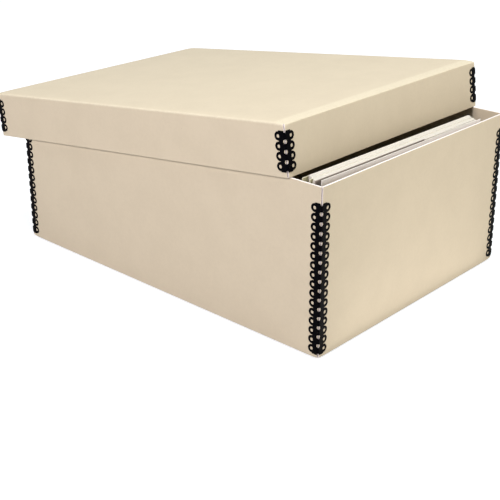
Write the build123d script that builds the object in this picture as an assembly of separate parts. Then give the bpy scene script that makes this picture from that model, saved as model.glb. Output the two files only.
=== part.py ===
from build123d import *
import math
import os

# A board box for index cards, with a lift-off lid and punched steel stays at its corners.
# Sizes are in millimetres. The tray stands on z = 0 with the origin under its middle, and its
# near end, where the cards stand, looks towards +X. The front long wall looks towards -Y.

# Tray: one blank of board, folded up to a floor and four walls
tray_length = 307.5
tray_width = 218.5
tray_height = 121.0
board = 1.5
fold_radius = 1.2
corner_slack = 0.1

# Lid: a shallow tray of the same board, upside down, that goes over the tray and its stays
lid_depth = 36.0
lid_clearance = 0.6

# Where the lid lies: drawn back from the near end, and let down at the far end
lid_setback = 25.5
lid_seat_gap = 0.25

# Stay: a strip of punched steel bent over a corner, with a row of round lobes on each leg.
# Reaches are measured along the wall from the sharp corner of the two wall faces.
steel = 0.4
inner_bend = 0.5
band_reach = 5.0
lobe_pitch = 6.62
lobe_reach = 5.45
lobe_radius = 3.0
eye_reach = 5.62
eye_radius = 1.35
ridge_hole_radius = 1.45
strip_end = 0.3
notch_radius = 1.0
notch_depth = 1.7

# Tooth: turned in beside each eye of a stay, and pressed into the board
tooth_width = 1.4
tooth_tip = 0.5
tooth_cover = 0.4
tooth_inset = 0.1
tooth_clearance = 0.05

# Where the stays sit: the margin of bare wall at the foot, and the least of it at the other end
stay_foot = 3.5
tray_stay_margin = 10.5
lid_stay_margin = 5.0

# Pack of cards, on edge across the tray at its near end, fanned towards the back wall, and lower
# than the front card by the drop
card_proud = 2.4
card_slack = 31.0
card_thickness = 0.64
card_spacing = 0.05
card_count = 13
card_side_gap = 0.5
card_fan = 5.0
card_jog = 0.3
pack_askew = 0.6
pack_drop = 1.1

# Front card: stands alone before the pack, one end of it bowed away from the near end wall
front_card_thickness = 0.5
front_card_gap = 0.4
front_card_bow = 1.55
front_card_side_gap = 2.0
pack_gap = 3.4

# Small card: a third as wide as the rest, against the near face of the pack at its back end
small_card_width = 66.0
small_card_thickness = 0.9

# Guide cards: stiffer and a little lower, one in the pack and one behind it
guide_thickness = 0.6
guide_drop = 1.0
guide_reach = 0.6
rear_guide_gap = 0.7

# Worked out from the sizes above
outer_bend = inner_bend + steel
tooth_depth = board - tooth_cover
tooth_reach = eye_reach - eye_radius - tooth_inset
lid_play = steel + lid_clearance
lid_length = tray_length + 2 * (lid_play + board)
lid_width = tray_width + 2 * (lid_play + board)
lid_tilt = math.degrees(math.asin((lid_depth - board) / (tray_length - lid_setback - board)))
lid_rise = board * math.sin(math.radians(lid_tilt)) + lid_seat_gap
tray_lobes = int((tray_height - stay_foot - tray_stay_margin - 2 * strip_end) // lobe_pitch)
lid_lobes = int((lid_depth - stay_foot - lid_stay_margin - 2 * strip_end) // lobe_pitch)
near_wall = tray_length / 2 - board
front_wall = -tray_width / 2 + board
pack_start = near_wall - front_card_gap - front_card_bow - front_card_thickness - pack_gap
card_width = tray_width - 2 * board - card_slack
card_height = tray_height - board + card_proud
pack_height = card_height - pack_drop
corner_names = ("near_front", "near_back", "far_back", "far_front")


def strip_length(lobes):
    """The length of a stay that has this many lobes on each leg."""
    return lobes * lobe_pitch + 2 * strip_end


def lobe_heights(lobes):
    """How far the middle of each lobe is from the end of the strip."""
    return [strip_end + (number + 0.5) * lobe_pitch for number in range(lobes)]


def corner_places(length, width):
    """The upright outer corners of a box, each turned so that its walls run to -X and +Y."""
    corners = ((length, -width), (length, width), (-length, width), (-length, -width))
    return [Pos(x / 2, y / 2, 0) * Rot(0, 0, 90 * turn) for turn, (x, y) in enumerate(corners)]


def across_corner(shape):
    """The same shape on the other leg, mirrored in the upright plane that halves the corner."""
    return mirror(shape, about=Plane(origin=(0, 0, 0), z_dir=(1, 1, 0)))


def folded_wall(span, height):
    """A wall across the X axis, its outer face on x = 0 and its foot rounded by the fold."""
    section = Rectangle(board, height, align=(Align.MIN, Align.MIN))
    foot = section.vertices().sort_by(Axis.Y)[:2].sort_by(Axis.X)[0]
    section = fillet(foot, min(fold_radius, 0.9 * board))
    return extrude(Plane.XZ * section, span / 2, both=True)


def tooth_slit():
    """The slit for one tooth, in the wall on x = 0 beside a corner that stands on the Z axis."""
    into = tooth_depth + tooth_clearance
    across = steel + 2 * tooth_clearance
    along = tooth_width + 2 * tooth_clearance
    slit = Box(into, across, along, align=(Align.MAX, Align.MAX, Align.CENTER))
    return Pos(0, tooth_reach + tooth_clearance, 0) * slit


def folded_board(length, width, height, lobes, stay_start):
    """One blank folded up round a floor on z = 0, its corners open, with slits for the teeth."""
    floor = Box(length - 2 * board, width - 2 * board, board)
    body = Pos(0, 0, board / 2) * floor
    for turn in range(4):
        across_length = turn % 2 == 0
        out = length / 2 if across_length else width / 2
        span = (width if across_length else length) - 2 * board - corner_slack
        body += Rot(0, 0, 90 * turn) * Pos(-out, 0, 0) * folded_wall(span, height)
    slit = tooth_slit()
    slits = []
    for place in corner_places(length, width):
        for rise in lobe_heights(lobes):
            at_lobe = place * Pos(0, 0, stay_start + rise)
            slits.append(at_lobe * slit)
            slits.append(at_lobe * across_corner(slit))
    return body - slits


def stay_leg(lobes):
    """The flat leg of a stay on the plane x = 0, along +Y: a band edged with lobes, eyes cut."""
    length = strip_length(lobes)
    band = Rectangle(band_reach - inner_bend, length, align=(Align.MIN, Align.MIN))
    flat = Pos(inner_bend, 0) * band
    flat += [Pos(lobe_reach, rise) * Circle(lobe_radius) for rise in lobe_heights(lobes)]
    flat -= [Pos(eye_reach, rise) * Circle(eye_radius) for rise in lobe_heights(lobes)]
    return extrude(Plane.YZ * flat, steel)


def tooth():
    """A tapered tooth from the leg on x = 0 into the board, on the ridge side of an eye."""
    root = tooth_width / 2
    tip = tooth_tip / 2
    outline = Polyline((steel, -root), (0, -root), (-tooth_depth, -tip), (-tooth_depth, tip),
                       (0, root), (steel, root), close=True)
    plate = extrude(Plane.XZ * make_face(outline), steel)
    return Pos(0, tooth_reach, 0) * plate


def stay(lobes):
    """A whole stay on a corner that stands on the Z axis, its walls running to -X and +Y."""
    length = strip_length(lobes)
    leg = stay_leg(lobes)
    quarter = Rectangle(outer_bend, outer_bend, align=(Align.MIN, Align.MAX))
    ring = (Circle(outer_bend) - Circle(inner_bend)) & quarter
    body = extrude(Pos(-inner_bend, inner_bend) * ring, length) + leg + across_corner(leg)
    reach = 2 * (outer_bend + ridge_hole_radius)
    bore = Rot(0, 0, -45) * Rot(0, 90, 0) * Cylinder(ridge_hole_radius, 2 * reach)
    body -= [Pos(0, 0, strip_end + number * lobe_pitch) * bore for number in range(1, lobes)]
    mouth = SlotOverall(2 * notch_depth, 2 * notch_radius, rotation=90)
    notch = Rot(0, 0, 45) * extrude(Plane.XZ * mouth, reach, both=True)
    body -= [notch, Pos(0, 0, length) * notch]
    spike = tooth()
    both_legs = (spike, across_corner(spike))
    return body + [Pos(0, 0, rise) * side for rise in lobe_heights(lobes) for side in both_legs]


def tray_parts():
    """The folded tray and the stay on each of its corners."""
    parts = {"tray_board": folded_board(tray_length, tray_width, tray_height, tray_lobes, stay_foot)}
    long_stay = stay(tray_lobes)
    for name, place in zip(corner_names, corner_places(tray_length, tray_width)):
        parts["tray_stay_" + name] = place * Pos(0, 0, stay_foot) * long_stay
    return parts


def lid_parts():
    """The folded lid and its stays, the right way up for a lid, laid askew on the tray's rims."""
    near_edge = Pos(tray_length / 2 - lid_setback, 0, tray_height + lid_rise)
    askew = near_edge * Rot(0, -lid_tilt, 0) * Pos(-lid_length / 2, 0, 0)
    upside_down = Pos(0, 0, lid_depth) * Rot(180, 0, 0)
    stay_start = lid_depth - stay_foot - strip_length(lid_lobes)
    blank = folded_board(lid_length, lid_width, lid_depth, lid_lobes, stay_start)
    parts = {"lid_board": askew * upside_down * blank}
    short_stay = stay(lid_lobes)
    for name, place in zip(corner_names, corner_places(lid_length, lid_width)):
        parts["lid_stay_" + name] = askew * place * Pos(0, 0, stay_foot) * short_stay
    return parts


def pack_card(thickness, height, near_face, side, width=card_width):
    """A card on edge on the tray's floor, with its near face and its front edge where told.

    The whole pack stands askew, turned about the upright line where it starts at the front wall.
    """
    card = Box(thickness, width, height, align=(Align.MAX, Align.MIN, Align.MIN))
    pivot = Pos(pack_start, front_wall, board)
    return pivot * Rot(0, 0, -pack_askew) * Pos(near_face - pack_start, side, 0) * card


def bowed_card():
    """The single card: seen from above it leaves the wall at its front end by the whole bow."""
    share_of_bow = ((0, 1), (0.35, 0.42), (0.7, 0.08), (1, 0))
    line = Spline([(-front_card_bow * out, card_width * along) for along, out in share_of_bow])
    back_line = Pos(-front_card_thickness, 0) * line
    sides = [Line(line @ 0, back_line @ 0), Line(line @ 1, back_line @ 1)]
    card = extrude(make_face([line, back_line] + sides), card_height)
    return Pos(near_wall - front_card_gap, front_wall + front_card_side_gap, board) * card


def card_parts():
    """The single bowed card, then the pack: a small card, full cards, and guides in and behind."""
    parts = {"front_card": bowed_card()}
    guide_height = pack_height - guide_drop
    small_side = card_side_gap + card_width - small_card_width
    parts["small_card"] = pack_card(small_card_thickness, pack_height,
                                    pack_start + card_spacing + small_card_thickness, small_side,
                                    small_card_width)
    depth = pack_start
    for number in range(card_count):
        if number == card_count // 2:
            parts["guide_card_middle"] = pack_card(guide_thickness, guide_height, depth, guide_reach)
            depth -= guide_thickness + card_spacing
        fan = card_fan * number / max(card_count - 1, 1)
        side = card_side_gap + fan + card_jog * (2 * number % 3)
        parts["card_%02d" % (number + 1)] = pack_card(card_thickness, pack_height, depth, side)
        depth -= card_thickness + card_spacing
    behind = depth - rear_guide_gap
    parts["guide_card_rear"] = pack_card(guide_thickness, guide_height, behind, guide_reach)
    return parts


os.makedirs("parts", exist_ok=True)
for part_name, shape in {**tray_parts(), **lid_parts(), **card_parts()}.items():
    export_step(shape, "parts/" + part_name + ".step")
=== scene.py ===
import math

import bmesh
import bpy
import numpy as np
from mathutils import Matrix, Vector


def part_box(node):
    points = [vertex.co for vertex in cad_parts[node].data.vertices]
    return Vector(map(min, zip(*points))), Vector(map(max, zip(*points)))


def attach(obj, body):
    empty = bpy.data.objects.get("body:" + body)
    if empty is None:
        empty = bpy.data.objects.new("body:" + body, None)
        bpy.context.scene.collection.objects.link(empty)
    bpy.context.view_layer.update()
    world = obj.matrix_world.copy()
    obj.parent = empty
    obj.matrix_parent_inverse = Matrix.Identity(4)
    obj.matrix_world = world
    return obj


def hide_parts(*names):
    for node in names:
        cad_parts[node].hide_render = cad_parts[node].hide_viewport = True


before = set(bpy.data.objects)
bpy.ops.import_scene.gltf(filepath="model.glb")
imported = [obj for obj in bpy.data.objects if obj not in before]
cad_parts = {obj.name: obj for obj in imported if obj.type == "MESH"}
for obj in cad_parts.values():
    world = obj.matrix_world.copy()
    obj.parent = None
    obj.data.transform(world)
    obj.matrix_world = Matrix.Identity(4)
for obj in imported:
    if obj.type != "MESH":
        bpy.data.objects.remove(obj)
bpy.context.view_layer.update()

# The viewer stands off the tray's near front corner, a little above the lid, and looks down on it.
# Lengths are in metres here and below, its dip and turn in degrees, and its lens in millimetres.
viewer_place = (0.5291, -0.5840, 0.3470)
viewer_dip = 21.2
viewer_turn = 42.55
field_shift = -0.1
lens_width = 36.0
lens_length = 75.5
nearest_seen = 0.01
farthest_seen = 50.0
viewer = bpy.data.cameras.new("viewer")
viewer.sensor_width = lens_width
viewer.lens = lens_length
viewer.shift_y = field_shift
viewer.clip_start = nearest_seen
viewer.clip_end = farthest_seen
viewer_stand = bpy.data.objects.new("viewer", viewer)
viewer_stand.location = viewer_place
viewer_stand.rotation_euler = (math.radians(90.0 - viewer_dip), 0.0, math.radians(viewer_turn))
bpy.context.collection.objects.link(viewer_stand)
bpy.context.scene.camera = viewer_stand
bpy.context.scene.view_settings.view_transform = "Standard"


# The floor is the milky sheet of a shooting table, far larger than the box. It is matt, and glows
# from below, more so farther out, which throws light up on the walls of the box. The camera sees
# it whiter than it shines on the box.
floor_reach = 6.0
floor_drop = 0.0002
floor_pale = (0.50, 0.50, 0.50, 1.0)
floor_shade = (0.48, 0.48, 0.485, 1.0)
floor_cloud_scale = 3.0
floor_roughness = 0.9
floor_glow = (0.93, 0.95, 1.0, 1.0)
glow_near = 0.10
glow_far = 0.90
glow_start = 0.9
glow_full = 2.6
glow_for_camera = 0.6


def shader_node(tree, kind, inputs=(), **settings):
    """A node of this kind with its settings. Each input is a value, or the socket that feeds it."""
    made = tree.nodes.new(kind)
    for name, value in settings.items():
        setattr(made, name, value)
    for name, value in dict(inputs).items():
        if isinstance(value, bpy.types.NodeSocket):
            tree.links.new(value, made.inputs[name])
        else:
            made.inputs[name].default_value = value
    return made


def maths(tree, operation, first, second):
    """The result of one arithmetic node, such as MULTIPLY, on two values or sockets."""
    made = shader_node(tree, "ShaderNodeMath", {0: first, 1: second}, operation=operation)
    return made.outputs[0]


def ramp(tree, value, low, high, start=0.0, end=1.0):
    """A number that goes smoothly from start, where the value is low, to end, where it is high."""
    ends = {"Value": value, "From Min": low, "From Max": high, "To Min": start, "To Max": end}
    return shader_node(tree, "ShaderNodeMapRange", ends,
                       interpolation_type="SMOOTHSTEP").outputs["Result"]


def mixed(tree, share, first, second):
    """A colour that goes from the first to the second as the share goes from 0 to 1.

    Colours go into the Mix node by its sockets 6 and 7, and come out by its output 2.
    """
    mix = shader_node(tree, "ShaderNodeMix", {0: share, 6: first, 7: second}, data_type="RGBA")
    return mix.outputs[2]


def noise(tree, place, scale, **texture):
    """The value of a noise texture, from 0 to 1, its other inputs given by name."""
    inputs = {"Vector": place, "Scale": scale, **texture}
    return shader_node(tree, "ShaderNodeTexNoise", inputs).outputs["Fac"]


def new_material(name):
    """An empty material, its node tree, and the place on the piece that its patterns follow."""
    material = bpy.data.materials.new(name)
    material.use_nodes = True
    tree = material.node_tree
    tree.nodes.clear()
    place = tree.nodes.new("ShaderNodeTexCoord").outputs["Object"]
    return material, tree, place


def finish_material(tree, **sockets):
    """Closes a material with its one shader, whose sockets are named with _ for a space."""
    named = {name.replace("_", " "): value for name, value in sockets.items()}
    shader = shader_node(tree, "ShaderNodeBsdfPrincipled", named)
    shader_node(tree, "ShaderNodeOutputMaterial", {"Surface": shader.outputs["BSDF"]})


def floor_material():
    """A matt pale sheet that glows by how far it is from the box, and more for the camera."""
    material, tree, place = new_material("floor_paper")
    tone = mixed(tree, noise(tree, place, floor_cloud_scale), floor_pale, floor_shade)
    away = shader_node(tree, "ShaderNodeVectorMath", {0: place}, operation="LENGTH")
    shining = ramp(tree, away.outputs["Value"], glow_start, glow_full, glow_near, glow_far)
    for_camera = shader_node(tree, "ShaderNodeLightPath").outputs["Is Camera Ray"]
    glow = maths(tree, "ADD", shining, maths(tree, "MULTIPLY", for_camera, glow_for_camera))
    finish_material(tree, Base_Color=tone, Roughness=floor_roughness, Emission_Color=floor_glow,
                    Emission_Strength=glow)
    return material


floor_mesh = bpy.data.meshes.new("floor")
floor_corners = [(x * floor_reach, y * floor_reach, -floor_drop)
                 for x, y in ((-1, -1), (1, -1), (1, 1), (-1, 1))]
floor_mesh.from_pydata(floor_corners, [], [(0, 1, 2, 3)])
floor_mesh.materials.append(floor_material())
floor = bpy.data.objects.new("floor", floor_mesh)
bpy.context.collection.objects.link(floor)


# Soft studio light: two panels overhead, one off the near end, and a small one high off the front,
# which draws the shadow line under the lid. A small card on the table lights the foot of the near
# end, and a faint panel behind and an even surround fill the shade.
def light_panel(name, place, aim, size, power, tint):
    """A square panel of light at a place, turned to face the point that it lights."""
    lamp = bpy.data.lights.new(name, "AREA")
    lamp.size = size
    lamp.energy = power
    lamp.color = tint
    stand = bpy.data.objects.new(name, lamp)
    stand.location = place
    stand.rotation_euler = (Vector(aim) - Vector(place)).to_track_quat("-Z", "Y").to_euler()
    bpy.context.collection.objects.link(stand)


box_middle = (0.0, 0.0, 0.07)
light_panel("top_panel", place=(-0.5, 0.2, 1.9), aim=box_middle, size=1.2, power=8.0,
            tint=(0.84, 0.96, 1.0))
light_panel("near_top_panel", place=(0.6, -0.1, 1.9), aim=box_middle, size=1.0, power=20.0,
            tint=(0.94, 1.0, 0.965))
light_panel("near_end_panel", place=(1.25, 0.35, 0.92), aim=box_middle, size=0.6, power=8.2,
            tint=(1.0, 0.935, 0.77))
light_panel("front_panel", place=(0.1, -1.42, 1.06), aim=box_middle, size=0.4, power=18.4,
            tint=(1.0, 0.952, 0.935))
light_panel("table_card", place=(0.26, 0.0, 0.001), aim=(0.26, 0.0, 1.0), size=0.2, power=0.10,
            tint=(1.0, 0.977, 0.937))
light_panel("back_panel", place=(-1.5, 1.4, 0.50), aim=box_middle, size=1.2, power=3.5,
            tint=(1.0, 0.98, 0.96))
surround_fill = (0.12, 0.12, 0.12, 1.0)
surround_for_camera = (1.0, 1.0, 1.0, 1.0)
surround = bpy.data.worlds.new("surround")
surround.use_nodes = True
for_camera = shader_node(surround.node_tree, "ShaderNodeLightPath").outputs["Is Camera Ray"]
surround_tone = mixed(surround.node_tree, for_camera, surround_fill, surround_for_camera)
surround.node_tree.links.new(surround_tone, surround.node_tree.nodes["Background"].inputs["Color"])
bpy.context.scene.world = surround


# The tray is one blank of grey-white pulp board, faced on both sides with tan paper. It is scored,
# its corners are cut out, and its four walls are folded up, so the cut edges show the pale core.
board = 0.0015
corner_slack = 0.00005
fold_rise = 0.0018
corner_fold_rise = 0.0014
corner_rise_power_x = 32
corner_rise_power_y = 24
corner_dip = 0.0003
corner_dip_power_x = 30
corner_dip_power_y = 22
shoulder = 0.0080
shoulder_drop = 0.0004
shoulder_power = 4
crease_power = 1.3
# How far across its shoulder the painted highlight of a crease spreads
crease_highlight_reach = 3
cut_round = 0.00018
cut_lean = 0.00078
wall_bow = 0.0003

# The lines of its grid: how many, and how close they lie to an edge that they hold
panel_lines = 44
shoulder_lines = 12
fold_lines = 8
wall_lines = 22
wall_line_power = 0.9
hold_line = 0.0004
line_tolerance = 1e-9
cut_round_steps = 4
core_steps = (1 / 3, 1 / 2, 2 / 3)

# Its finish: colours, and how strongly wear, the painted crease highlight and specks show
tan_shade = (0.652, 0.557, 0.431, 1.0)
tan_light = (0.680, 0.583, 0.453, 1.0)
# Paler tan, for the folds' wear and for the painted highlight of a crease
tan_wear_and_highlight = (0.80, 0.73, 0.58, 1.0)
speck_dark = (0.30, 0.22, 0.15, 1.0)
speck_pale = (0.80, 0.74, 0.62, 1.0)
core_shade = (0.85, 0.79, 0.80, 1.0)
core_light = (0.90, 0.84, 0.85, 1.0)
wear_and_highlight_strength = 0.55
speck_dark_strength = 0.28
speck_pale_strength = 0.25


def blank_lines(half, height):
    """The lines across a blank from rim to rim, folded up at both sides of a panel.

    Each line has an outer and an inner place out from the middle, a rise as a share of the fold's
    (up to 1 at its end) and of the wall's, and a share of wear. The outer fold is a quarter of an
    ellipse: out = sin of the turn, and rise = 1 - cos of the turn. Its wear is half the sum of
    the sines of the turn and of twice the turn. The cut line is the last one in the panel, where
    the other two walls end.
    """
    edge = half - board - corner_slack
    inside = np.linspace(-edge + shoulder, edge - shoulder, panel_lines)
    eased = np.linspace(0, shoulder, shoulder_lines + 1)[1:]
    panel = np.concatenate([-edge + shoulder - eased[::-1], inside, edge - shoulder + eased])
    turn = np.linspace(0, math.pi / 2, fold_lines + 1)[1:]
    wall = np.linspace(0, 1, wall_lines)[1:] ** wall_line_power
    wall = np.concatenate([[hold_line / height], wall[1:-1], [1 - hold_line / height, 1]])
    outer = np.concatenate([edge + (half - edge) * np.sin(turn), np.full(len(wall), half)])
    inner = np.concatenate([edge + corner_slack * np.sin(turn), np.full(len(wall), half - board)])
    side = {
        "fold": np.concatenate([1 - np.cos(turn), np.ones(len(wall))]),
        "wall": np.concatenate([0 * turn, wall]),
        "wear": np.concatenate([0.5 * np.sin(2 * turn) + 0.5 * np.sin(turn), 0 * wall]),
    }
    lines = {key: np.concatenate([share[::-1], 0 * panel, share]) for key, share in side.items()}
    lines["outer"] = np.concatenate([-outer[::-1], panel, outer])
    lines["inner"] = np.concatenate([-inner[::-1], panel, inner])
    lines["in_panel"] = np.abs(lines["outer"]) <= edge + line_tolerance
    lines["cut"] = lines["in_panel"] & (np.abs(lines["outer"]) > edge - corner_slack)
    return lines


def across_shoulder(out, half):
    """How far across its shoulder a place on the panel is: 0 at its start and 1 at the fold."""
    return np.clip((out - half + board + shoulder) / shoulder, 0, 1)


def blank_skins(along, across, size, crease_drop):
    """The outer and inner skins of a blank as point grids, and the wear and painted highlight of
    the outer.

    A point's place is (out along x, out along y, rise along x + rise along y). A fold is higher
    by a power of the way to its corners, where the panel too gives way. The panel bends towards
    the walls by a power of the way across its shoulder. At the +x end it may bend further, as a
    crease that has been much used, and there it is painted lighter across its shoulder: a painted
    highlight on top of the folds' own wear. The ends of the walls lean in, so that two meet at a
    corner.
    """
    length, width, height = size
    top = height - cut_round
    x_out, y_out = np.meshgrid(along["outer"], across["outer"], indexing="ij")
    x_in, y_in = np.meshgrid(along["inner"], across["inner"], indexing="ij")
    x_share, y_share = np.abs(x_out) / (length / 2), np.abs(y_out) / (width / 2)
    bend_x = fold_rise + corner_fold_rise * y_share ** corner_rise_power_y
    bend_y = fold_rise + corner_fold_rise * x_share ** corner_rise_power_x
    fold_x, wall_x = along["fold"][:, None], along["wall"][:, None]
    fold_y, wall_y = across["fold"][None, :], across["wall"][None, :]
    rise = bend_x * fold_x + (top - bend_x) * wall_x
    rise = rise + bend_y * fold_y + (top - bend_y) * wall_y
    rise_in = board + (top - board) * wall_x + (top - board) * wall_y
    dip = x_share ** corner_dip_power_x * y_share ** corner_dip_power_y
    rise = rise + corner_dip * dip * (rise < fold_rise)
    shoulder_x = across_shoulder(np.abs(x_out), length / 2)
    shoulder_y = across_shoulder(np.abs(y_out), width / 2)
    crease = across_shoulder(x_out, length / 2)
    for drop, reached in ((shoulder_drop, shoulder_x ** shoulder_power),
                          (shoulder_drop, shoulder_y ** shoulder_power),
                          (crease_drop, crease ** crease_power)):
        rise = rise + drop * reached * np.clip(1 - rise / fold_rise, 0, 1)
    lean = cut_lean - cut_round
    x_out = x_out + np.sign(x_out) * lean * fold_y * along["cut"][:, None]
    y_out = y_out + np.sign(y_out) * lean * fold_x * across["cut"][None, :]
    skins = np.stack([np.stack([x_out, y_out, rise], -1), np.stack([x_in, y_in, rise_in], -1)])
    # Painted highlight: a crease that bends further is painted lighter across its whole shoulder.
    crease_highlight = np.minimum(crease_highlight_reach * crease, 1) * (crease_drop > 0) * (rise < fold_rise)
    # These wear values also carry the crease's painted highlight.
    wear = np.maximum(np.maximum(along["wear"][:, None], across["wear"][None, :]), crease_highlight)
    return skins, wear


def border_edges(kept, number):
    """The edges, as pairs of point numbers, between the squares of a grid that are kept and not.

    Each edge runs so that a face that is built on it looks outwards.
    """
    padded = np.pad(kept, 1)
    step_x = padded[1:, 1:-1] != padded[:-1, 1:-1]
    step_y = padded[1:-1, 1:] != padded[1:-1, :-1]
    starts_x = padded[1:, 1:-1][step_x]
    starts_y = padded[1:-1, 1:][step_y]
    ends_x = np.stack([number[:, :-1][step_x], number[:, 1:][step_x]], -1)
    ends_y = np.stack([number[:-1, :][step_y], number[1:, :][step_y]], -1)
    ends_x[~starts_x] = ends_x[~starts_x][:, ::-1]
    ends_y[starts_y] = ends_y[starts_y][:, ::-1]
    return np.concatenate([ends_x, ends_y])


def rounded(depth):
    """How far a cut edge stands out at a depth below a skin: a quarter of a circle, then flat."""
    return cut_round * np.sqrt(1 - (1 - np.minimum(depth / cut_round, 1)) ** 2)


def folded_blank(length, width, height, crease_drop=0.0):
    """The points and faces of a blank that is folded up round its panel, and its point values.

    The blank is a grid of lines along x and lines along y, without its four corners. Its outer
    and inner skins are joined by the cut edge, which goes through the board in steps. A step's
    place is (1 - depth) x outer + depth x inner, pushed out by the rounded edge, at the ends of
    the walls less and less with the depth. A wall bows in by the square of the cosine of the way
    along it, times the square of the height. The values are the depth in the board, and the wear
    together with the painted highlight of a crease.
    """
    along, across = blank_lines(length / 2, height), blank_lines(width / 2, height)
    skins, worn_and_lit = blank_skins(along, across, (length, width, height), crease_drop)
    flat_x = along["in_panel"][1:] & along["in_panel"][:-1]
    flat_y = across["in_panel"][1:] & across["in_panel"][:-1]
    kept = flat_x[:, None] | flat_y[None, :]
    number = np.arange(worn_and_lit.size).reshape(worn_and_lit.shape)
    quads = np.stack([number[:-1, :-1], number[:-1, 1:], number[1:, 1:], number[1:, :-1]], -1)[kept]
    edges = border_edges(kept, number)

    on_edge = np.unique(edges)
    column, row = np.divmod(on_edge, worn_and_lit.shape[1])
    rim = (along["wall"][column] == 1) | (across["wall"][row] == 1)
    push = np.stack([np.sign(along["outer"][column]) * along["cut"][column],
                     np.sign(across["outer"][row]) * across["cut"][row], 0 * rim], -1)
    lift = np.stack([0 * rim, 0 * rim, 1 * rim], -1)
    round_depths = cut_round * (1 - np.cos(np.linspace(0, math.pi / 2, cut_round_steps)))
    depths = np.concatenate([round_depths, board * np.array(core_steps),
                             board - round_depths[::-1]])[:, None, None]
    outer, inner = (skin.reshape(-1, 3)[on_edge] for skin in skins)
    cut = outer * (1 - depths / board) + inner * depths / board
    cut = cut + push * rounded(depths) * (1 - depths / board)
    cut = cut + lift * rounded(np.minimum(depths, board - depths))

    steps = len(depths) - 2
    points = np.concatenate([skins.reshape(-1, 3), cut[1:-1].reshape(-1, 3)])
    place_on_edge = np.zeros(worn_and_lit.size, int)
    place_on_edge[on_edge] = np.arange(len(on_edge))
    layers = [edges]
    layers += [place_on_edge[edges] + 2 * worn_and_lit.size + step * len(on_edge) for step in range(steps)]
    layers += [edges + worn_and_lit.size]
    strips = [np.stack([over[:, 1], over[:, 0], under[:, 0], under[:, 1]], -1)
              for over, under in zip(layers, layers[1:])]
    faces = np.concatenate([quads, quads[:, ::-1] + worn_and_lit.size] + strips)
    ply = np.concatenate([np.zeros(worn_and_lit.size), np.ones(worn_and_lit.size),
                          np.repeat(depths[1:-1].ravel() / board, len(on_edge))])
    wear = np.concatenate([worn_and_lit.ravel(), np.zeros(worn_and_lit.size + steps * len(on_edge))])

    used, faces = np.unique(faces, return_inverse=True)
    points = points[used]
    up = np.clip(points[:, 2] / height, 0, 1) ** 2
    bow_x = wall_bow * np.cos(math.pi * points[:, 1] / width) ** 2 * up
    bow_y = wall_bow * np.cos(math.pi * points[:, 0] / length) ** 2 * up
    points[:, 0] -= bow_x * points[:, 0] / (length / 2)
    points[:, 1] -= bow_y * points[:, 1] / (width / 2)
    return points, faces.reshape(-1, 4), {"ply": ply[used], "fold_wear_and_highlight": wear[used]}


def add_piece(name, points, faces, material, body, stands_for, values):
    """A smooth mesh of these points and faces that rides on a body and takes a node's place."""
    mesh = bpy.data.meshes.new(name)
    mesh.from_pydata(np.asarray(points).tolist(), [], [list(face) for face in faces])
    mesh.polygons.foreach_set("use_smooth", np.ones(len(mesh.polygons), bool))
    for key, numbers in values.items():
        mesh.attributes.new(key, "FLOAT", "POINT").data.foreach_set("value", np.float32(numbers))
    mesh.materials.append(material)
    piece = bpy.data.objects.new(name, mesh)
    bpy.context.collection.objects.link(piece)
    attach(piece, body)
    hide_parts(stands_for)
    return piece


def new_group(name, inputs, outputs):
    """An empty node group with these inputs and outputs, by name and kind, and its end nodes."""
    group = bpy.data.node_groups.new(name, "ShaderNodeTree")
    for direction, sockets in (("INPUT", inputs), ("OUTPUT", outputs)):
        for socket, kind in sockets.items():
            group.interface.new_socket(socket, in_out=direction, socket_type="NodeSocket" + kind)
    return group, group.nodes.new("NodeGroupInput"), group.nodes.new("NodeGroupOutput")


def blend(tree, first, second, second_share):
    """Two values added up, the second by its share and the first by the rest."""
    return maths(tree, "ADD", maths(tree, "MULTIPLY", first, 1 - second_share),
                 maths(tree, "MULTIPLY", second, second_share))


def paper_grain_group():
    """Paper's grain: a cloudy tone from pulp that lies unevenly, and the height of its fibres."""
    cloud_per_grain = 0.03
    mottle_per_grain = 0.35
    mottle_in_tone = 0.45
    fibre_in_height = 0.6
    group, given, made = new_group("paper_grain", {"Place": "Vector", "Grain": "Float"},
                                   {"Tone": "Float", "Height": "Float"})
    place, grain = given.outputs["Place"], given.outputs["Grain"]
    cloud = noise(group, place, maths(group, "MULTIPLY", grain, cloud_per_grain),
                  Detail=3.0, Roughness=0.6)
    mottle = noise(group, place, maths(group, "MULTIPLY", grain, mottle_per_grain),
                   Detail=4.0, Roughness=0.65)
    fibre = noise(group, place, grain, Detail=5.0, Roughness=0.7, Distortion=1.5)
    group.links.new(blend(group, cloud, mottle, mottle_in_tone), made.inputs["Tone"])
    group.links.new(blend(group, mottle, fibre, fibre_in_height), made.inputs["Height"])
    return group


def speck_group():
    """Stray specks: a small dot in the middle of a few cells, out of all those of a size."""
    group, given, made = new_group("specks", {"Place": "Vector", "Cells": "Float",
                                              "Radius": "Float", "Share": "Float"},
                                   {"Mask": "Float"})
    cells = shader_node(group, "ShaderNodeTexVoronoi",
                        {"Vector": given.outputs["Place"], "Scale": given.outputs["Cells"]})
    dot = maths(group, "LESS_THAN", cells.outputs["Distance"], given.outputs["Radius"])
    pick = shader_node(group, "ShaderNodeSeparateColor", {"Color": cells.outputs["Color"]})
    chosen = maths(group, "LESS_THAN", pick.outputs["Red"], given.outputs["Share"])
    group.links.new(maths(group, "MULTIPLY", dot, chosen), made.inputs["Mask"])
    return group


def placed_group(tree, group, **inputs):
    """The outputs of a node group that is put into a material with its inputs given."""
    return shader_node(tree, "ShaderNodeGroup", inputs, node_tree=group).outputs


def point_value(tree, name):
    """The value of this name that the mesh gives its points."""
    return shader_node(tree, "ShaderNodeAttribute", attribute_name=name).outputs["Fac"]


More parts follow.
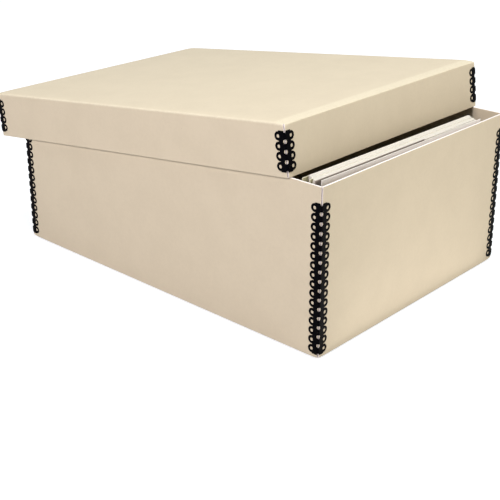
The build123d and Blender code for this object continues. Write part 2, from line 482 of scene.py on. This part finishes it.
def roughness(tree, value, least, span):
    """A roughness from the least up by the span, as the value goes from 0 to 1."""
    return maths(tree, "ADD", maths(tree, "MULTIPLY", value, span), least)


def bumped(tree, height, strength, distance):
    """The normal that a height gives the surface."""
    inputs = {"Height": height, "Strength": strength, "Distance": distance}
    return shader_node(tree, "ShaderNodeBump", inputs).outputs["Normal"]


paper_grain = paper_grain_group()
specks = speck_group()


def board_material():
    """Tan facing paper on a pale layered core, lighter where folds stretch it, with a painted
    crease highlight.
    """
    material, tree, place = new_material("tan_board")
    grain = placed_group(tree, paper_grain, Place=place, Grain=1300.0)
    tan = mixed(tree, ramp(tree, grain["Tone"], low=0.35, high=0.65), tan_shade, tan_light)
    dark = placed_group(tree, specks, Place=place, Cells=95.0, Radius=0.028, Share=0.16)["Mask"]
    tan = mixed(tree, maths(tree, "MULTIPLY", dark, speck_dark_strength), tan, speck_dark)
    pale = placed_group(tree, specks, Place=place, Cells=160.0, Radius=0.05, Share=0.2)["Mask"]
    tan = mixed(tree, maths(tree, "MULTIPLY", pale, speck_pale_strength), tan, speck_pale)
    # The fold values carry the folds' wear and a crease's painted highlight; both mix towards paler
    # tan.
    rubbed = maths(tree, "MULTIPLY", point_value(tree, "fold_wear_and_highlight"),
                   ramp(tree, grain["Height"], low=0.25, high=0.7))
    tan = mixed(tree, maths(tree, "MULTIPLY", rubbed, wear_and_highlight_strength), tan, tan_wear_and_highlight)
    ply = point_value(tree, "ply")
    in_core = maths(tree, "MULTIPLY", ramp(tree, ply, low=0.02, high=0.07),
                    ramp(tree, ply, low=0.98, high=0.93))
    core = mixed(tree, noise(tree, place, scale=2600.0, Detail=3.0), core_shade, core_light)
    finish_material(tree, Base_Color=mixed(tree, in_core, tan, core), Specular_IOR_Level=0.35,
                    Roughness=roughness(tree, grain["Tone"], least=0.70, span=0.12),
                    Normal=bumped(tree, grain["Height"], strength=0.22, distance=0.00012))
    return material


tan_board = board_material()
tray_low, tray_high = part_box("tray_board")
tray_size = tray_high - tray_low
tray_points, tray_faces, tray_values = folded_blank(*tray_size)
add_piece("tray_folded_board", tray_points, tray_faces, tan_board, "tray", "tray_board",
          tray_values)


# The lid is a shallower blank of the same board, folded the same way and turned over. It goes
# over the tray and its stays. It lies askew: drawn back from the near end and down at the far end.
lid_depth = 0.036
lid_play = 0.001
lid_setback = 0.0255
lid_seat_gap = 0.00025
# Its near crease bends further, and the board is painted lighter there: a painted highlight.
lid_crease_drop = 0.0009
lid_length = tray_size.x + 2 * (lid_play + board)
lid_width = tray_size.y + 2 * (lid_play + board)
lid_tilt = math.asin((lid_depth - board) / (tray_size.x - lid_setback - board))
lid_rise = board * math.sin(lid_tilt) + lid_seat_gap
lid_near_edge = Vector((tray_high.x - lid_setback, 0.0, tray_high.z + lid_rise))
lid_place = (Matrix.Translation(lid_near_edge) @ Matrix.Rotation(-lid_tilt, 4, "Y")
             @ Matrix.Translation((-lid_length / 2, 0.0, 0.0)))
upside_down = Matrix.Translation((0.0, 0.0, lid_depth)) @ Matrix.Rotation(math.pi, 4, "X")


def moved(points, place):
    """The points carried by a matrix: turned by its first three columns and shifted by its last."""
    turn = np.array(place)
    return points @ turn[:3, :3].T + turn[:3, 3]


lid_points, lid_faces, lid_values = folded_blank(lid_length, lid_width, lid_depth, lid_crease_drop)
add_piece("lid_folded_board", moved(lid_points, lid_place @ upside_down), lid_faces, tan_board,
          "lid", "lid_board", lid_values)


# A stay is a strip of black enamelled steel, punched with a row of eyes down each leg and a row
# of holes down its ridge. It is bent over a corner, and the tooth beside each eye bites the board.
# Reaches are measured along a wall from the sharp corner of two walls.
steel = 0.0004
steel_flat = 0.00032
inner_bend = 0.0005
half_bend = (inner_bend + steel / 2) * math.pi / 4
band_reach = 0.0050
lobe_pitch = 0.00662
lobe_reach = 0.00545
lobe_radius = 0.0030
eye_reach = 0.00562
eye_radius = 0.0012
swell_middle = 0.00062
swell_spread = 0.00042
strip_end = 0.0003
ridge_hole_reach = 0.00165
ridge_hole_radius = 0.00145
notch_reach = 0.00101
notch_depth = 0.0014
enamel_round = 0.00012
round_shares = (0.0, 0.29, 1.0)
sunk = 0.00003
stay_foot = 0.0035
tray_lobes = 16
lid_lobes = 4

# Its tooth: a bar that leaves the band, turns down through the board's face, and tapers
tooth_root = 0.00405
tooth_root_height = 0.00017
tooth_run = 0.0003
tooth_bend = 0.00026
tooth_neck_depth = 0.0006
tooth_tip_depth = 0.0011
tooth_half_width = 0.0007
tooth_half_tip = 0.00025
tooth_half_thickness = 0.00015
tooth_squareness = 0.5

# How many points its outlines have, where its rings lie, and how near points are to be joined
arc_points = 14
border_points = 6
hole_points = 7
ridge_points = 4
ring_shares = (0.2, 0.4, 0.6, 0.8)
tooth_bend_points = 6
tooth_wide_points = 4
tooth_ring_points = 12
weld_distance = 1e-7

# Its finish: the enamel where it is deep, dusty, and rubbed thin at an edge
enamel_deep = (0.0006, 0.0004, 0.0012, 1.0)
enamel_dusty = (0.0013, 0.0010, 0.0026, 1.0)
enamel_thin = (0.06, 0.055, 0.055, 1.0)
thin_strength = 0.5


def unrolled(reach):
    """How far along the flat strip from its ridge a reach from the sharp corner is."""
    return reach - inner_bend + half_bend


def half_outline(top, mouth_reach, mouth_depth, cut_end):
    """Half of the outline of one lobe's share of the strip, from the lobe's tip to the ridge.

    It is an arc of the lobe, the edge of the band, the border with the next lobe, a quarter of
    the ellipse of a ridge hole or notch, and the ridge. True marks the points of a border.
    """
    lobe, band, mouth = unrolled(lobe_reach), unrolled(band_reach), unrolled(mouth_reach)
    swing = np.linspace(0, math.acos((band - lobe) / lobe_radius), arc_points)
    arc = np.stack([lobe + lobe_radius * np.cos(swing), lobe_radius * np.sin(swing)], -1)
    along = np.linspace(band, mouth, border_points)
    border = np.stack([along, 0 * along + top], -1)
    shared = np.full(border_points, not cut_end)
    shared[[0, -1]] = False
    turn = np.linspace(0, math.pi / 2, hole_points)[1:]
    hole = np.stack([mouth * np.cos(turn), top - mouth_depth * np.sin(turn)], -1)
    down = np.linspace(top - mouth_depth, 0, ridge_points)[1:]
    ridge = np.stack([0 * down, down], -1)
    marks = [0 * swing, shared, 0 * turn, 0 * down + 1]
    return np.concatenate([arc, border, hole, ridge]), np.concatenate(marks).astype(bool)


def lobe_outline(low_end, high_end):
    """The closed outline of one lobe's share of a leg, and which of its points are on a border."""
    halves = []
    for cut_end in (high_end, low_end):
        top = lobe_pitch / 2 + strip_end * cut_end
        mouth = (notch_reach, notch_depth) if cut_end else (ridge_hole_reach, ridge_hole_radius)
        halves.append(half_outline(top, *mouth, cut_end))
    (upper, upper_marks), (lower, lower_marks) = halves
    lower = lower[1:-1][::-1] * (1, -1)
    return np.concatenate([upper, lower]), np.concatenate([upper_marks, lower_marks[1:-1][::-1]])


def over_corner(along, up, height):
    """Bends the flat strip over a corner: an arc about a centre inside it, then straight legs."""
    turn = np.sign(along) * np.minimum(np.abs(along) / half_bend, 1) * math.pi / 4 - math.pi / 4
    straight = np.maximum(np.abs(along) - half_bend, 0)
    x = -inner_bend + (inner_bend + height) * np.cos(turn) - straight * (along < 0)
    y = inner_bend + (inner_bend + height) * np.sin(turn) + straight * (along > 0)
    return np.stack([x, y, up], -1)


def lobe_shell(low_end, high_end):
    """One lobe's share of a leg: rings from the eye out to the outline, over the top and under.

    Each ring is the eye's circle moved towards the outline by a distance or a share. The height
    is the flat steel, a quarter circle at each free edge, and a swelling round the eye, which is
    e to the power of minus the square of the distance from its middle over its spread.
    """
    outline, border = lobe_outline(low_end, high_end)
    centre = np.array([unrolled(eye_reach), 0.0])
    angle = np.arctan2(outline[:, 1], outline[:, 0] - centre[0])
    eye = centre + eye_radius * np.stack([np.cos(angle), np.sin(angle)], -1)
    span = np.linalg.norm(outline - eye, axis=1)
    steps = enamel_round * np.array(round_shares)
    drops = steps[::-1]
    rings, heights = [], []
    for step, drop in zip(steps, drops):
        rings.append(step + 0 * span)
        heights.append(steel_flat - drop + 0 * span)
    for share in ring_shares:
        away = enamel_round + (span - 2 * enamel_round) * share
        swell = np.exp(-((away - swell_middle) / swell_spread) ** 2)
        rings.append(away)
        heights.append(steel_flat + (steel - steel_flat) * swell)
    for step, drop in zip(steps[::-1], drops[::-1]):
        rings.append(span - step)
        heights.append(steel_flat - np.where(border, 0, drop))
    outermost = len(rings) - 1
    rings += [span, 0 * span]
    heights += [0 * span - sunk, 0 * span - sunk]
    share = np.stack(rings) / span
    flat = eye + (outline - eye) * share[..., None]
    number = np.arange(share.size).reshape(share.shape)
    around = np.roll(number, -1, axis=1)
    faces = []
    for ring in range(len(share)):
        after = (ring + 1) % len(share)
        quads = np.stack([number[ring], number[after], around[after], around[ring]], -1)
        if ring == outermost:
            quads = quads[~(border & np.roll(border, -1))]
        faces.append(quads)
    edge = np.zeros(share.shape)
    edge[[0, 1, outermost - 1, outermost]] = 1
    edge[:, border] = 0
    return flat.reshape(-1, 2), np.stack(heights).ravel(), np.concatenate(faces), edge.ravel()


def tooth_shell():
    """A tooth: a tapering bar whose line runs out from the band, turns down and goes straight in.

    The turn is a quarter of a circle. A ring round the bar is a squarish oval: the sine and the
    cosine of the way round it, each to a power below 1.
    """
    turn = np.linspace(0, math.pi / 2, tooth_bend_points)
    neck = tooth_root + tooth_run
    line_reach = np.concatenate([[tooth_root], neck + tooth_bend * np.sin(turn),
                                 [neck + tooth_bend] * 2])
    line_height = np.concatenate([[tooth_root_height],
                                  tooth_root_height - tooth_bend * (1 - np.cos(turn)),
                                  [-tooth_neck_depth, -tooth_tip_depth]])
    lean = np.concatenate([[0], turn, [math.pi / 2] * 2])
    tapering = len(lean) - tooth_wide_points
    half_width = np.concatenate([[tooth_half_width] * tooth_wide_points,
                                 np.linspace(tooth_half_width, tooth_half_tip, tapering)])
    ring = np.linspace(0, 2 * math.pi, tooth_ring_points, endpoint=False)
    wide = np.sign(np.cos(ring)) * np.abs(np.cos(ring)) ** tooth_squareness
    thick = np.sign(np.sin(ring)) * np.abs(np.sin(ring)) ** tooth_squareness
    thick = tooth_half_thickness * thick
    reach = line_reach[:, None] + thick * np.sin(lean)[:, None]
    height = line_height[:, None] + thick * np.cos(lean)[:, None]
    up = half_width[:, None] * wide
    number = np.arange(reach.size).reshape(reach.shape)
    around = np.roll(number, -1, axis=1)
    sides = np.stack([number[:-1], number[1:], around[1:], around[:-1]], -1).reshape(-1, 4)
    caps = [number[0].tolist(), number[-1][::-1].tolist()]
    return np.stack([reach, up, height], -1).reshape(-1, 3), sides.tolist() + caps


def stay_shell(lobes):
    """A whole stay on a corner on the z axis, whose walls run to -x and +y, from z = 0 upwards."""
    points, faces, edges, count = [], [], [], 0
    tooth, tooth_faces = tooth_shell()
    for lobe in range(lobes):
        flat, height, quads, edge = lobe_shell(lobe == 0, lobe == lobes - 1)
        middle = strip_end + (lobe + 0.5) * lobe_pitch
        for leg in (1, -1):
            points.append(over_corner(leg * flat[:, 0], flat[:, 1] + middle, height))
            faces += (quads + count).tolist()
            edges.append(edge)
            count += len(flat)
            points.append(over_corner(leg * unrolled(tooth[:, 0]), tooth[:, 1] + middle,
                                      tooth[:, 2]))
            faces += [[corner + count for corner in face] for face in tooth_faces]
            edges.append(0 * tooth[:, 0])
            count += len(tooth)
    return np.concatenate(points), faces, np.concatenate(edges)


def enamel_material():
    """Black stoving enamel: glossy, faintly wavy, and rubbed thin in places along its edges."""
    material, tree, place = new_material("black_enamel")
    dust = noise(tree, place, scale=90.0, Detail=5.0)
    rub = ramp(tree, noise(tree, place, scale=420.0, Detail=4.0), low=0.56, high=0.68)
    wave = noise(tree, place, scale=900.0, Detail=2.0)
    thin = maths(tree, "MULTIPLY", point_value(tree, "free_edge"), rub)
    black = mixed(tree, dust, enamel_deep, enamel_dusty)
    colour = mixed(tree, maths(tree, "MULTIPLY", thin, thin_strength), black, enamel_thin)
    finish_material(tree, Base_Color=colour, Specular_IOR_Level=0.03,
                    Roughness=roughness(tree, dust, least=0.20, span=0.14),
                    Normal=bumped(tree, wave, strength=0.12, distance=0.0001))
    return material


def weld(mesh):
    """Joins the points of a mesh that lie together, and turns its faces outwards."""
    shell = bmesh.new()
    shell.from_mesh(mesh)
    bmesh.ops.remove_doubles(shell, verts=shell.verts, dist=weld_distance)
    bmesh.ops.recalc_face_normals(shell, faces=shell.faces)
    shell.to_mesh(mesh)
    shell.free()


def add_stays(owner, lobes, length, width, carry):
    """The four stays of a box of this size, one on each upright corner."""
    points, faces, edges = stay_shell(lobes)
    corners = (("near_front", 1, -1), ("near_back", 1, 1),
               ("far_back", -1, 1), ("far_front", -1, -1))
    for turn, (corner, x_side, y_side) in enumerate(corners):
        stand = Matrix.Translation((x_side * length / 2, y_side * width / 2, stay_foot))
        place = carry @ stand @ Matrix.Rotation(turn * math.pi / 2, 4, "Z")
        node = f"{owner}_stay_{corner}"
        piece = add_piece(node + "_strip", moved(points, place), faces, black_enamel, owner, node,
                          {"free_edge": edges})
        weld(piece.data)


black_enamel = enamel_material()
add_stays("tray", tray_lobes, tray_size.x, tray_size.y, Matrix())
add_stays("lid", lid_lobes, lid_length, lid_width, lid_place)


# Cards stand on edge at the near end. A loose one stands before the pack, bowed away from the end
# wall at one end. All are plain card, cut square, so each is two smooth skins and a cut edge.
card_hold = 0.0003
card_lines = 40
card_rows = 14
top_slope = 0.0009
front_bow = 0.00155
front_thickness = 0.0005
bow_places = (0.0, 0.35, 0.7, 1.0)
bow_shares = (1.0, 0.42, 0.08, 0.0)
bow_curve = np.polyfit(bow_places, bow_shares, 3)
grey_light = (0.72, 0.665, 0.645, 1.0)
grey_shade = (0.66, 0.605, 0.585, 1.0)
grey_edge = (0.90, 0.85, 0.81, 1.0)
batch_in_tone = 0.65
front_batch = 0.5
edge_strength = 0.5


def card_shell(low, high, thickness, lean):
    """A card between two corners: x = the near face less how far it leans at (across, up).

    Both skins are one grid of places across (y) and up (z). The height falls evenly from the
    front to the back by the slope of the top. The far skin is the near one moved back by the
    thickness, and the two are joined round their border. The edge value is 1 there.
    """
    width, height = high.y - low.y, high.z - low.z
    across = np.concatenate([[0], np.linspace(card_hold, width - card_hold, card_lines), [width]])
    up = np.concatenate([[0], np.linspace(card_hold, height - card_hold, card_rows), [height]])
    y, z = np.meshgrid(across, up, indexing="ij")
    near = high.x - lean(y / width, z / height)
    z = z + z / height * top_slope * (0.5 - y / width)
    skins = [np.stack([near - back, y + low.y, z + low.z], -1) for back in (0, thickness)]
    number = np.arange(y.size).reshape(y.shape)
    quads = np.stack([number[:-1, :-1], number[1:, :-1], number[1:, 1:], number[:-1, 1:]], -1)
    quads = quads.reshape(-1, 4)
    border = np.concatenate([number[:, 0], number[-1, 1:], number[-2::-1, -1], number[0, -2:0:-1]])
    after = np.roll(border, -1)
    strip = np.stack([after, border, border + y.size, after + y.size], -1)
    edge = np.zeros(y.shape)
    edge[[0, -1], :] = 1
    edge[:, [0, -1]] = 1
    points = np.concatenate([skin.reshape(-1, 3) for skin in skins])
    return points, np.concatenate([quads, quads[:, ::-1] + y.size, strip]), np.tile(edge.ravel(), 2)


def card_material(name, light, shade, edge_tone, strength=edge_strength):
    """Matt card with a paper grain, of a tone that varies by batch, and paler at its cut edges."""
    material, tree, place = new_material(name)
    grain = placed_group(tree, paper_grain, Place=place, Grain=1700.0)
    tone = blend(tree, ramp(tree, grain["Tone"], low=0.35, high=0.65), point_value(tree, "batch"),
                 batch_in_tone)
    fibre = maths(tree, "MULTIPLY", ramp(tree, grain["Height"], low=0.3, high=0.7), strength)
    cut = maths(tree, "MULTIPLY", point_value(tree, "edge"), fibre)
    finish_material(tree, Base_Color=mixed(tree, cut, mixed(tree, tone, shade, light), edge_tone),
                    Roughness=roughness(tree, grain["Tone"], least=0.62, span=0.14),
                    Specular_IOR_Level=0.35,
                    Normal=bumped(tree, grain["Height"], strength=0.15, distance=0.0001))
    return material


def add_card(node, shell, material, body, batch):
    """The sheet of one card, from its shell, with its edge value and the batch it came in."""
    points, faces, edge = shell
    add_piece(node + "_sheet", points, faces, material, body, node,
              {"edge": edge, "batch": batch + 0 * edge})


front_low, front_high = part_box("front_card")
front_shell = card_shell(front_low, front_high, front_thickness,
                         lambda across, up: front_bow * np.polyval(bow_curve, across))
grey_card = card_material("grey_card", grey_light, grey_shade, grey_edge)
add_card("front_card", front_shell, grey_card, "front_card", front_batch)


# The pack is white card that stands a little askew, thumbed and put back, so no two tops are quite
# level, and they rise to the rear. Its first card is painted dark brown as painted shadow, for the
# shaded gap between it and the loose card, and has a small card before it. Tan guide cards stand
# in it and behind it.
pack_askew = math.radians(0.6)
pack_sway = 0.00003
whole_rise = 0.0002
rear_rise = 0.0006
top_slack = 0.00025
guide_lift = 0.0010
least_waves = 0.6
most_waves = 1.4
card_fill = 0.93
batches = 2.5
thumbing_seed = 7
white_light = (0.72, 0.685, 0.62, 1.0)
white_shade = (0.67, 0.61, 0.595, 1.0)
white_edge = (0.75, 0.715, 0.67, 1.0)
guide_light = (0.56, 0.52, 0.35, 1.0)
guide_shade = (0.50, 0.46, 0.30, 1.0)
guide_edge = (0.86, 0.82, 0.74, 1.0)
guide_edge_strength = 1.0
# Painted shadow: the first card's dark brown stands in for the shade in the gap before the pack.
painted_shadow_pale = (0.28, 0.235, 0.21, 1.0)
painted_shadow_deep = (0.23, 0.19, 0.17, 1.0)
painted_shadow_edge = (0.45, 0.40, 0.36, 1.0)
white_card = card_material("white_card", white_light, white_shade, white_edge)
tan_card = card_material("tan_card", guide_light, guide_shade, guide_edge, guide_edge_strength)
painted_shadow_card = card_material("painted_shadow_card", painted_shadow_pale, painted_shadow_deep, painted_shadow_edge)
# card_01 takes the dark card of painted shadow, and the guides take tan card.
finishes = {"card_01": (painted_shadow_card, "grey_card"), "guide_card_middle": (tan_card, "tan_card"),
            "guide_card_rear": (tan_card, "tan_card")}
chance = np.random.default_rng(thumbing_seed)
pack_nodes = sorted(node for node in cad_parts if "card" in node and node != "front_card")
pack_near = max(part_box(node)[1].x for node in pack_nodes)
pack_depth = pack_near - min(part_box(node)[1].x for node in pack_nodes)
for place_in_pack, node in enumerate(pack_nodes):
    low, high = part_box(node)
    askew = (high.y - low.y) * math.sin(pack_askew)
    thickness = (high.x - low.x - askew) * card_fill
    phase = chance.uniform(0, 2 * math.pi)
    waves = chance.uniform(least_waves, most_waves)
    back = (pack_near - high.x) / pack_depth
    high.z += whole_rise + rear_rise * back - top_slack * chance.uniform(0, 1)
    high.z += guide_lift * (node == "guide_card_middle")
    shell = card_shell(low, high, thickness, lambda across, up: askew * (1 - across)
                       + pack_sway * np.sin(waves * math.pi * across + phase) * up)
    finish, slot = finishes.get(node, (white_card, "white_card"))
    batch = 0.5 - 0.5 * math.cos(batches * 2 * math.pi * place_in_pack / len(pack_nodes))
    add_card(node, shell, finish, "card_pack", batch)
